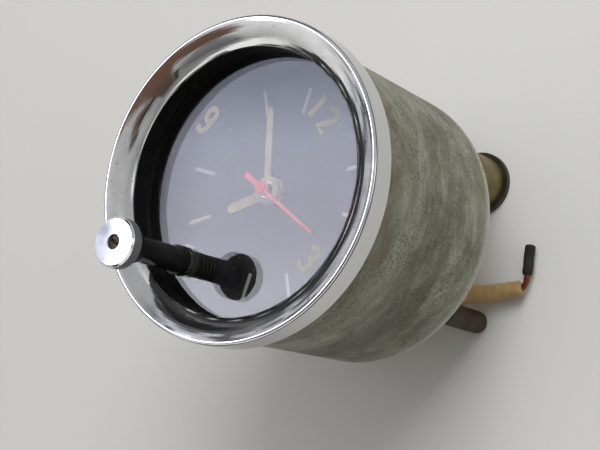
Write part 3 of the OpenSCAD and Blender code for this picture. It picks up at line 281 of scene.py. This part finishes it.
def polished_chrome():
    """Chrome of the bezel: hazy, with a few pits, duller on the skirt, and with a painted dark reflection
    where it faces outwards and partly upwards.
    """
    material, shader = new_material("polished_chrome")
    shader.inputs["Metallic"].default_value = 1.0
    haze = noise(material, 220, 7.0, 0.65)
    dots = noise(material, 1500, 1.5, 0.5)
    normal = surface_normal(material)
    upward = split(material, normal)["Z"]
    outward = along(material, normal, coordinates(material))
    # Painted dark reflection: near black where the bezel faces outwards and partly upwards
    dark_reflection_mask = times(material, band(material, upward, 0.2, 0.5, 0.1),
                     ramp(material, outward, 20 * MM, 30 * MM, 0.0, 0.85))
    sheen = mix(material, ramp(material, haze, 0.4, 0.7), (0.84, 0.85, 0.86), (0.74, 0.75, 0.75))
    colour = layers(material, sheen, (
        (ramp(material, dots, 0.7, 0.76, 0.0, 0.55), (0.12, 0.11, 0.1)),
        (ramp(material, upward, 0.4, 0.2, 0.0, 0.85), (0.6, 0.6, 0.595)),
        # Painted dark reflection on the outward, partly upward faces
        (dark_reflection_mask, (0.1, 0.1, 0.108))))
    join(material, colour, shader.inputs["Base Color"])
    join(material, ramp(material, haze, 0.35, 0.75, 0.04, 0.16), shader.inputs["Roughness"])
    bump(material, shader, noise(material, 900, 3.0), 0.04, 0.02 * MM)
    return material


# Height where the knob's chrome cap meets its black boss, and half of the blur between them
KNOB_CAP_Z = 78.1 * MM
KNOB_CAP_BLUR = 0.06 * MM


def capped_knob():
    """Knob: chrome cap with a duller milled edge, in front of a black boss."""
    material, shader = new_material("capped_knob")
    haze = noise(material, 400, 6.0, 0.6)
    height = split(material, coordinates(material))["Z"]
    upward = split(material, surface_normal(material))["Z"]
    cap = ramp(material, height, KNOB_CAP_Z - KNOB_CAP_BLUR, KNOB_CAP_Z + KNOB_CAP_BLUR)
    plate = mix(material, ramp(material, haze, 0.4, 0.7), (0.8, 0.81, 0.84), (0.68, 0.69, 0.72))
    plate = mix(material, ramp(material, upward, 0.5, 0.3), plate, (0.4, 0.4, 0.41))
    join(material, mix(material, cap, (0.006, 0.006, 0.007), plate), shader.inputs["Base Color"])
    metal = times(material, cap, ramp(material, upward, 0.5, 0.3, 1.0, 0.55))
    join(material, metal, shader.inputs["Metallic"])
    join(material, ramp(material, upward, 0.5, 0.3, 0.04, 0.4), shader.inputs["Roughness"])
    bump(material, shader, noise(material, 1200, 3.0), 0.05, 0.02 * MM)
    return material


def black_finish(name, base, dust, rough, coat=0.0):
    """Black paint or rubber with pale specks of dust, under a clear coat where it is glossy."""
    material, shader = new_material(name)
    shader.inputs["Specular IOR Level"].default_value = 0.3
    shader.inputs["Coat Weight"].default_value = coat
    shader.inputs["Coat Roughness"].default_value = 0.05
    cloud = noise(material, 350, 6.0, 0.6)
    specks = noise(material, 1700, 1.0, 0.5)
    worn = tuple(c * 2.2 for c in base)
    colour = mix(material, ramp(material, cloud, 0.4, 0.75), base, worn)
    colour = mix(material, ramp(material, specks, 0.74, 0.8, 0.0, dust), colour, (0.35, 0.34, 0.33))
    join(material, colour, shader.inputs["Base Color"])
    join(material, ramp(material, cloud, 0.3, 0.7, rough, rough + 0.15), shader.inputs["Roughness"])
    return material


def clear_glass():
    """Glass that is clear for the rays that carry light to the dial, and refracts for the eye."""
    material, shader = new_material("clear_glass")
    smudge = noise(material, 90, 5.0, 0.6, warp=0.6)
    tint = mix(material, ramp(material, smudge, 0.45, 0.75), (0.98, 0.985, 0.985), (0.93, 0.94, 0.945))
    join(material, tint, shader.inputs["Base Color"])
    join(material, ramp(material, smudge, 0.5, 0.8, 0.0, 0.012), shader.inputs["Roughness"])
    shader.inputs["IOR"].default_value = 1.5
    shader.inputs["Transmission Weight"].default_value = 1.0
    path = add(material, "ShaderNodeLightPath")
    clear = add(material, "ShaderNodeBsdfTransparent")
    blend = add(material, "ShaderNodeMixShader")
    output = material.node_tree.nodes["Material Output"]
    join(material, path.outputs["Is Shadow Ray"], blend.inputs[0])
    join(material, shader.outputs[0], blend.inputs[1])
    join(material, clear.outputs[0], blend.inputs[2])
    join(material, blend.outputs[0], output.inputs["Surface"])
    return material


# Y where the sleeve's soil starts and where it is full
SOILED = (2 * MM, 13 * MM)


def waxed_cloth():
    """Tan cloth of the lead's sleeve, soiled towards the cut end."""
    material, shader = new_material("tan_cloth")
    shader.inputs["Sheen Weight"].default_value = 0.25
    cloud = noise(material, 260, 6.0, 0.65)
    thread = noise(material, 1500, 2.0, 0.6)
    toward_end = split(material, coordinates(material))["Y"]
    weave = mix(material, ramp(material, cloud, 0.35, 0.68), (0.78, 0.5, 0.21), (0.6, 0.38, 0.16))
    colour = layers(material, weave, (
        (ramp(material, thread, 0.55, 0.7, 0.0, 0.2), (0.3, 0.19, 0.08)),
        (ramp(material, toward_end, *SOILED, 0.0, 0.75), (0.22, 0.15, 0.065))))
    join(material, colour, shader.inputs["Base Color"])
    join(material, ramp(material, thread, 0.3, 0.7, 0.6, 0.85), shader.inputs["Roughness"])
    bump(material, shader, thread, 0.5, 0.12 * MM)
    return material


# Metals: base and dark colour, metallic share, roughness where smooth and where dull, grain
brass = worn_metal("satin_brass", (0.55, 0.43, 0.2), (0.4, 0.31, 0.14), 1.0, 0.22, 0.42)
dull_brass = worn_metal("dull_brass", (0.27, 0.215, 0.085), (0.15, 0.12, 0.05), 0.7, 0.35, 0.6, 180)
screw_brass = worn_metal("screw_brass", (0.12, 0.085, 0.06), (0.05, 0.038, 0.03), 0.8, 0.3, 0.5, 500)
dark_olive = worn_metal("dark_olive", (0.035, 0.031, 0.017), (0.012, 0.011, 0.008), 0.6, 0.2, 0.4, 400)
steel = worn_metal("ground_steel", (0.5, 0.51, 0.53), (0.36, 0.37, 0.39), 1.0, 0.25, 0.42, 300, (4, 1, 1))
iron = worn_metal("oxidised_iron", (0.06, 0.041, 0.025), (0.028, 0.019, 0.012), 0.4, 0.5, 0.7, 220)
# Very dark brown for the bulb holder's end cap
dark_cap_metal = worn_metal("dark_brown_cap", (0.03, 0.025, 0.014), (0.07, 0.057, 0.03), 0.4, 0.4, 0.65, 260)
copper = worn_metal("bare_copper", (0.3, 0.085, 0.03), (0.12, 0.035, 0.015), 0.9, 0.3, 0.5, 700)
# Paints: two shades, roughness, grain
cream = paint("cream_paint", (0.33, 0.27, 0.15), (0.25, 0.2, 0.1), 0.65)
tan_cream = paint("tan_cream_paint", (0.28, 0.215, 0.105), (0.21, 0.155, 0.07), 0.65)
white_print = paint("white_print", (0.3, 0.295, 0.27), (0.25, 0.245, 0.22), 0.65)
red = paint("red_paint", (0.55, 0.035, 0.03), (0.42, 0.025, 0.022), 0.4)
faded = paint("faded_numeral", (0.44, 0.415, 0.345), (0.36, 0.34, 0.275), 0.7, 900)
fibre = paint("pressed_fibre", (0.22, 0.075, 0.04), (0.13, 0.045, 0.028), 0.65, 800)
# Blacks: colour, dust, roughness, coat
matt_black = black_finish("matt_black", (0.004, 0.004, 0.005), 0.35, 0.38)
dial_black = black_finish("dial_black", (0.007, 0.007, 0.0085), 0.5, 0.5)
stem_black = black_finish("stem_black", (0.012, 0.012, 0.013), 0.1, 0.12, 0.6)
rubber = black_finish("rubber_black", (0.018, 0.0165, 0.012), 0.2, 0.6)
tan = waxed_cloth()

# Finish of each material slot, and of the nodes that differ from their slot
FINISHES = {
    "zinc": weathered_zinc(), "chrome": polished_chrome(), "glass": clear_glass(), "cloth": tan,
    "black_wall": matt_black, "black_gloss": stem_black, "seal": rubber, "cream_paint": cream,
    "red_paint": red, "fibre": fibre, "brass": brass, "old_brass": dull_brass, "steel": steel,
    "dark_iron": iron, "copper": copper,
}
SPECIAL = {
    "dial": dial_black, "setting_knob": capped_knob(), "knob_screw": screw_brass, "holder_cap": dark_cap_metal,
    "stem_bush": dark_olive, "setting_spring": dark_olive, "hour_hand": tan_cream,
    "hour_batons": white_print,
}
for entry in frame["record"]["subparts"]:
    target = nodes[entry["node"]]
    target.data.materials.clear()
    target.data.materials.append(SPECIAL.get(entry["node"], FINISHES[entry["material_slot"]]))


# Meshes

def mesh_object(name, verts, faces, material, smooth=True):
    data = bpy.data.meshes.new(name)
    data.from_pydata([tuple(v) for v in verts], [], faces)
    data.update()
    for face in data.polygons:
        face.use_smooth = smooth
    data.materials.append(material)
    piece = bpy.data.objects.new(name, data)
    scene.collection.objects.link(piece)
    return piece


def smooth_route(points, steps):
    """Points on a smooth curve through the given points, steps to each span."""
    ends = [2 * points[0] - points[1], *points, 2 * points[-1] - points[-2]]
    route = []
    for a, b, c, d in zip(ends, ends[1:], ends[2:], ends[3:]):
        for i in range(steps):
            t = i / steps
            route.append(0.5 * (2 * b + (c - a) * t + (2 * a - 5 * b + 4 * c - d) * t * t
                                + (3 * b - a - 3 * c + d) * t ** 3))
    route.append(points[-1])
    return route


def tube(name, route, radius_at, bore, sides, material):
    """Tube of radius radius_at(share, angle) round a route, closed on to a bore at both ends."""
    last = len(route) - 1
    angles = [2 * math.pi * k / sides for k in range(sides)]
    verts = []
    faces = []

    def ring(i, radii):
        ahead = (route[min(i + 1, last)] - route[max(i - 1, 0)]).normalized()
        side = Vector((0, 0, 1)).cross(ahead).normalized()
        up = ahead.cross(side)
        for radius, angle in zip(radii, angles):
            verts.append(route[i] + radius * (side * math.cos(angle) + up * math.sin(angle)))

    for i in range(last + 1):
        ring(i, [radius_at(i / last, angle) for angle in angles])
    for i in range(last):
        for k in range(sides):
            a = i * sides + k
            b = i * sides + (k + 1) % sides
            faces.append((a, b, b + sides, a + sides))
    for i in (0, last):
        first = len(verts)
        ring(i, [bore] * sides)
        for k in range(sides):
            a = i * sides + k
            b = i * sides + (k + 1) % sides
            c = first + (k + 1) % sides
            d = first + k
            faces.append((a, d, c, b) if i == 0 else (a, b, c, d))
    return mesh_object(name, verts, faces, material)


# Lead: the route of its solids, in millimetres. The sleeve and the tip each cover a stretch of it
LEAD = [Vector(p) * MM for p in (
    (13.6, -8.8, 14.0), (14.65, -6.7, 14.0), (15.3, -5.4, 13.46), (16.0, -4.0, 12.2), (16.7, -2.6, 10.4),
    (17.3, -1.4, 8.6), (17.9, -0.2, 6.62), (18.3, 0.81, 5.0), (18.89, 2.5, 4.0), (19.51, 3.54, 3.4),
    (19.66, 3.75, 3.3), (20.4, 4.3, 3.1), (21.5, 5.5, 2.9), (22.6, 6.9, 2.7), (23.8, 8.6, 2.6),
    (25.2, 10.4, 2.5), (26.3, 11.9, 2.4), (26.8, 12.7, 2.3), (26.6, 13.7, 2.2), (26.0, 14.4, 2.0),
    (25.2, 15.2, 1.9), (23.9, 16.6, 1.8), (22.5, 17.9, 1.7), (21.3, 19.2, 1.6), (20.7, 19.9, 1.6))]
CORE = LEAD[:-1]
SLEEVE = LEAD[1:18]
TIP = LEAD[20:]
CORE_R = 0.6 * MM
CORE_SPAN_STEPS = 2
core_route = smooth_route(CORE, CORE_SPAN_STEPS)
core_data = bpy.data.curves.new("lead_wire", "CURVE")
core_data.dimensions = "3D"
core_data.bevel_depth = CORE_R
core_data.bevel_resolution = 3
core_data.use_fill_caps = True
line = core_data.splines.new("POLY")
line.points.add(len(core_route) - 1)
for point, place in zip(line.points, core_route):
    point.co = (*place, 1)
core_data.materials.append(copper)
core = bpy.data.objects.new("lead_wire", core_data)
scene.collection.objects.link(core)

# Sleeve: radii and depths in millimetres, and places as shares of its length
SLEEVE_FULL = 2.35
SLEEVE_SLIM = 2.25
SLEEVE_TAPER = 0.62
STEP_AT = 0.42
ROUND_AT = 0.965
CREASES = ((0.69, 0.1), (0.76, 0.14), (0.83, 0.12), (0.9, 0.15))
CREASE_W = 0.014
SLEEVE_BORE = 1.05 * CORE_R
SLEEVE_SIDES = 32
COVER_SPAN_STEPS = 6


def sleeve_radius(share, angle):
    """Full before the step, then a taper with soft creases and a rounded end."""
    if share < STEP_AT:
        radius = SLEEVE_FULL * min(1.0, 0.65 + share * 6)
    else:
        radius = SLEEVE_SLIM - SLEEVE_TAPER * (share - STEP_AT) / (1 - STEP_AT)
    for crease, depth in CREASES:
        wander = 0.02 * math.sin(angle + 9 * crease)
        radius -= depth * math.exp(-((share - crease - wander) / CREASE_W) ** 2)
    radius += 0.08 * math.sin(3 * angle + 14 * share) * share
    if share > ROUND_AT:
        radius *= 1 - 0.28 * ((share - ROUND_AT) / (1 - ROUND_AT)) ** 2
    return radius * MM


# Tip: a cap with a rounded end and a drawn-in mouth
TIP_R = 1.1
TIP_ROUND_AT = 0.88
TIP_MOUTH_TO = 0.06
TIP_BORE = 0.05 * MM
TIP_SIDES = 24


def tip_radius(share, angle):
    radius = TIP_R
    if share > TIP_ROUND_AT:
        radius *= math.sqrt(max(0.08, 1 - ((share - TIP_ROUND_AT) / (1 - TIP_ROUND_AT)) ** 2))
    elif share < TIP_MOUTH_TO:
        radius *= 0.8 + 0.2 * share / TIP_MOUTH_TO
    return radius * MM


sleeve = tube("lead_sleeve_cloth", smooth_route(SLEEVE, COVER_SPAN_STEPS), sleeve_radius,
              SLEEVE_BORE, SLEEVE_SIDES, tan)
tip = tube("lead_tip_cap", smooth_route(TIP, COVER_SPAN_STEPS), tip_radius,
           TIP_BORE, TIP_SIDES, rubber)
for piece, node in ((core, "lead_core"), (sleeve, "lead_sleeve"), (tip, "lead_tip")):
    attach(piece, "case")
    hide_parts(node)


# Return spring of the knob, as a coil of wire at one fixed length
COIL_WIRE = 0.28 * MM
COIL_TURNS = 4
COIL_STEPS = 96
COIL_BORE = 0.02 * MM
COIL_SIDES = 10
coil_low, coil_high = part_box("setting_spring")
coil_x = (coil_low[0] + coil_high[0]) / 2
coil_y = (coil_low[1] + coil_high[1]) / 2
coil_mean = (coil_high[0] - coil_low[0]) / 2 - COIL_WIRE
coil_rise = coil_high[2] - coil_low[2] - 2 * COIL_WIRE
coil_route = []
for i in range(COIL_STEPS + 1):
    angle = 2 * math.pi * COIL_TURNS * i / COIL_STEPS
    coil_route.append(Vector((coil_x + coil_mean * math.cos(angle), coil_y + coil_mean * math.sin(angle),
                              coil_low[2] + COIL_WIRE + coil_rise * i / COIL_STEPS)))
coil = tube("setting_coil", coil_route, lambda share, angle: COIL_WIRE,
            COIL_BORE, COIL_SIDES, dark_olive)
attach(coil, "case")
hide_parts("setting_spring")
dial_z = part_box("dial")[1][2]
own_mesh(coil)


# Numerals printed on the inner face of the glass: strokes in a box 1 wide and 1.6 high, y towards twelve

def arc_points(centre, rx, ry, start, end, count):
    angles = [math.radians(start + (end - start) * i / count) for i in range(count + 1)]
    return [(centre[0] + rx * math.cos(a), centre[1] + ry * math.sin(a)) for a in angles]


DIGITS = {
    "1": [[(0.5, 0.0), (0.5, 1.6)], [(0.62, 1.55), (0.26, 1.36)]],
    "2": [arc_points((0.5, 1.17), 0.38, 0.4, 165, -35, 12) + [(0.16, 0.0), (0.92, 0.0)]],
    "3": [arc_points((0.5, 1.2), 0.36, 0.37, 165, -100, 12),
          arc_points((0.48, 0.42), 0.42, 0.41, 100, -160, 14)],
    "9": [arc_points((0.5, 1.2), 0.34, 0.46, -10, 350, 24),
          [(0.84, 1.0)] + arc_points((0.5, 0.35), 0.34, 0.42, 0, -155, 12)],
}
PRINT_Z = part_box("lens")[0][2] + 0.03 * MM
STROKE = 1.15 * MM
STROKE_LIFT = 0.02 * MM
GLYPH = 3.1 * MM
GLYPH_PITCH = 1.25 * GLYPH


def ribbon(points, width, verts, faces, z):
    """Adds a flat stroke along 2-D points to verts and faces."""
    first = len(verts)
    for i, p in enumerate(points):
        a = points[max(i - 1, 0)]
        b = points[min(i + 1, len(points) - 1)]
        across = Vector((a[1] - b[1], b[0] - a[0])).normalized() * width / 2
        verts.append((p[0] + across.x, p[1] + across.y, z))
        verts.append((p[0] - across.x, p[1] - across.y, z))
    for i in range(len(points) - 1):
        j = first + 2 * i
        faces.append((j, j + 1, j + 3, j + 2))


def numeral(name, text, centre):
    verts = []
    faces = []
    low = centre[1] - 0.8 * GLYPH
    for n, digit in enumerate(text):
        left = centre[0] + (n - len(text) / 2) * GLYPH_PITCH + (GLYPH_PITCH - GLYPH) / 2
        for k, stroke in enumerate(DIGITS[digit]):
            points = [(left + x * GLYPH, low + y * GLYPH) for x, y in stroke]
            ribbon(points, STROKE, verts, faces, PRINT_Z + STROKE_LIFT * k)
    piece = mesh_object(name, verts, faces, faded, False)
    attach(piece, "case")


numeral("numeral_twelve", "12", (0.0, 19.4 * MM))
numeral("numeral_three", "3", (19.8 * MM, 0.0))
numeral("numeral_nine", "9", (-19.4 * MM, 0.0))

# White dots printed on the dial beside the numerals
DOT_REACH = 18.7 * MM
DOT_R = 0.25 * MM
DOT_SIDES = 16
DOT_Z = dial_z + 0.04 * MM


def dial_dots(name, centres):
    verts = []
    faces = []
    for x, y in centres:
        first = len(verts)
        for k in range(DOT_SIDES):
            angle = 2 * math.pi * k / DOT_SIDES
            verts.append((x + DOT_R * math.cos(angle), y + DOT_R * math.sin(angle), DOT_Z))
        faces.append(tuple(range(first, first + DOT_SIDES)))
    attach(mesh_object(name, verts, faces, white_print, False), "case")


dial_dots("dial_dots", ((0.0, DOT_REACH), (DOT_REACH, 0.0), (-DOT_REACH, 0.0)))


# Floor and light

def flat_square(name, size, z, material):
    data = bpy.data.meshes.new(name)
    h = size / 2
    data.from_pydata([(-h, -h, z), (h, -h, z), (h, h, z), (-h, h, z)], [], [(0, 1, 2, 3)])
    data.materials.append(material)
    piece = bpy.data.objects.new(name, data)
    scene.collection.objects.link(piece)
    return piece


TABLE_SIZE = 6.0
TABLE_Z = -0.02 * MM
floor_paint, floor_shader = new_material("pale_table")
floor_shader.inputs["Base Color"].default_value = (0.76, 0.757, 0.735, 1)
floor_shader.inputs["Roughness"].default_value = 0.7
flat_square("table", TABLE_SIZE, TABLE_Z, floor_paint)


def soft_light(name, place, aim, size, radiance, colour):
    """Square area light of the given radiance, facing aim, that mirrors don't show."""
    data = bpy.data.lights.new(name, "AREA")
    data.shape = "SQUARE"
    data.size = size
    data.energy = radiance * math.pi * size * size
    data.color = colour
    lamp = bpy.data.objects.new(name, data)
    facing = Vector(aim) - Vector(place)
    lamp.matrix_world = Matrix.Translation(place) @ facing.to_track_quat("-Z", "Y").to_matrix().to_4x4()
    lamp.visible_glossy = False
    lamp.visible_transmission = False
    scene.collection.objects.link(lamp)


soft_light("key", place=(-0.2, 0.65, 0.85), aim=(0, 0, 0.04), size=0.6, radiance=5.6,
           colour=(0.995, 1.0, 1.0))
soft_light("side", place=(0.8, 0.5, 0.5), aim=(0, 0, 0.03), size=0.5, radiance=0.35,
           colour=(1.0, 0.99, 0.96))
soft_light("overhead", place=(-0.4, 0.1, 1.2), aim=(0, 0, 0), size=1.0, radiance=0.65,
           colour=(1.0, 0.995, 0.985))

# Window pane, where the glass and the crest mirror it to the camera
PANE_AT = (-0.467, -0.247, 0.72)
PANE_SIZE = 0.22
PANE_ACROSS = (0.7, 0.7, 0.0)
PANE_UP = (-0.7, 0.7, 0.0)
PANE_BLOT = (-0.0389, -0.0929, 0.0)


def window_pane():
    """Pane that only mirrors show: brighter and whiter low down, dim at the top and past its left edge,
    with a dark blot that the knob's face shows."""
    material, shader = new_material("window_pane")
    material.node_tree.nodes.remove(shader)
    glow = add(material, "ShaderNodeEmission")
    here = add(material, "ShaderNodeTexCoord").outputs["Object"]
    across = along(material, here, PANE_ACROSS)
    height = along(material, here, PANE_UP)
    gap = add(material, "ShaderNodeVectorMath", operation="DISTANCE")
    join(material, here, gap.inputs[0])
    gap.inputs[1].default_value = PANE_BLOT
    tone = mix(material, ramp(material, height, -0.09, 0.08), (0.89, 0.885, 1.0), (0.76, 0.8, 1.0))
    join(material, tone, glow.inputs["Color"])
    level = ramp(material, height, -0.07, -0.03, 5.7, 4.9)
    for value, low, high, dim in ((height, 0.075, 0.03, 0.6), (across, -0.07, -0.04, 0.82),
                                  (across, -0.09, -0.074, 0.24),
                                  (gap.outputs["Value"], 0.002, 0.0055, 0.2)):
        level = times(material, level, ramp(material, value, low, high, dim, 1.0))
    join(material, level, glow.inputs["Strength"])
    join(material, glow.outputs[0], material.node_tree.nodes["Material Output"].inputs["Surface"])
    pane = flat_square("window", PANE_SIZE, 0.0, material)
    pane.location = PANE_AT
    pane.visible_camera = False
    pane.visible_diffuse = False
    pane.visible_shadow = False


window_pane()

# Room colours
WALL = (0.82, 0.815, 0.8)
CEILING = (0.47, 0.465, 0.46)
BROWN = (0.15, 0.08, 0.055)
GREY = (0.4, 0.4, 0.41)
DARK = (0.04, 0.038, 0.042)
BACKDROP = (0.8, 0.8, 0.78)
# Share of the noise that makes the marks' edges wander, and what it adds at the noise's middle
EDGE_RIPPLE = 0.05
EDGE_MIDDLE = EDGE_RIPPLE / 2


def room():
    """Pale walls, a dark horizon, a greyer ceiling with a brown beam, and marks that the chrome shows."""
    world = bpy.data.worlds.new("room")
    world.use_nodes = True
    toward = add(world, "ShaderNodeTexCoord").outputs["Generated"]
    texture = add(world, "ShaderNodeTexNoise")
    texture.inputs["Scale"].default_value = 2.6
    texture.inputs["Detail"].default_value = 3.0
    join(world, toward, texture.inputs["Vector"])
    ripple = texture.outputs[0]
    axes = split(world, toward)
    height = axes["Z"]
    lifted = shifted(world, height, ripple, 0.4)
    shade = mix(world, ramp(world, lifted, 0.47, 0.53), (0.05, 0.048, 0.05), WALL)
    shade = mix(world, ramp(world, height, 0.8, 0.97), shade, CEILING)
    wave = add(world, "ShaderNodeMath", operation="SINE")
    join(world, ramp(world, lifted, 0.0, 1.0, 0.0, 62.0), wave.inputs[0])
    stripes = mix(world, ramp(world, wave.outputs[0], -0.25, 0.25), (0.1, 0.1, 0.11), (0.55, 0.55, 0.58))
    for direction, inner, outer, tint in (((0.3, 0.95, 0.3), 0.75, 0.5, GREY),
                                          ((-0.6, 0.22, 0.77), 0.96, 0.92, GREY),
                                          ((0.14, -0.58, 0.8), 0.985, 0.96, (0.3, 0.3, 0.31)),
                                          ((0.1, -0.04, 0.99), 0.994, 0.988, BROWN),
                                          ((-0.2, -0.4, 0.89), 0.99, 0.98, BROWN),
                                          ((0.2, 0.1, 0.97), 0.997, 0.993, DARK),
                                          ((0.24, -0.12, 0.96), 0.997, 0.993, DARK),
                                          ((-0.87, -0.2, 0.45), 0.92, 0.86, stripes),
                                          ((0.55, 0.72, 0.42), 0.985, 0.95, (1.3, 1.28, 1.2)),
                                          ((-0.92, 0.06, 0.38), 0.965, 0.945, (0.12, 0.12, 0.13))):
        edge = shifted(world, along(world, toward, direction), ripple, EDGE_RIPPLE)
        shade = mix(world, ramp(world, edge, outer + EDGE_MIDDLE, inner + EDGE_MIDDLE), shade, tint)
    ceiling = ramp(world, height, 0.72, 0.8)
    beam = times(world, band(world, axes["Y"], -0.33, -0.18, 0.02), ceiling)
    crack = times(world, band(world, axes["Y"], -0.38, -0.35, 0.015), ceiling)
    crack = times(world, crack, ramp(world, axes["X"], 0.1, 0.2))
    left = ramp(world, along(world, toward, (-0.85, -0.5, 0.0)), 0.5, 0.7)
    left = times(world, left, ramp(world, lifted, 0.53, 0.47))
    near = along(world, toward, (0.8, -0.6, 0.0))
    path = add(world, "ShaderNodeLightPath")
    glow = times(world, band(world, height, 0.2, 0.5, 0.08), ramp(world, near, 0.25, 0.45))
    shade = layers(world, shade, (
        (beam, BROWN),
        (crack, DARK),
        (left, DARK),
        (ramp(world, near, -0.1, 0.6, 0.0, 0.75), (0.04, 0.038, 0.036)),
        (times(world, glow, path.outputs["Is Glossy Ray"]), (0.9, 0.89, 0.86)),
        (path.outputs["Is Camera Ray"], BACKDROP)))
    sky = world.node_tree.nodes["Background"]
    join(world, shade, sky.inputs["Color"])
    sky.inputs["Strength"].default_value = 1.0
    return world


scene.world = room()
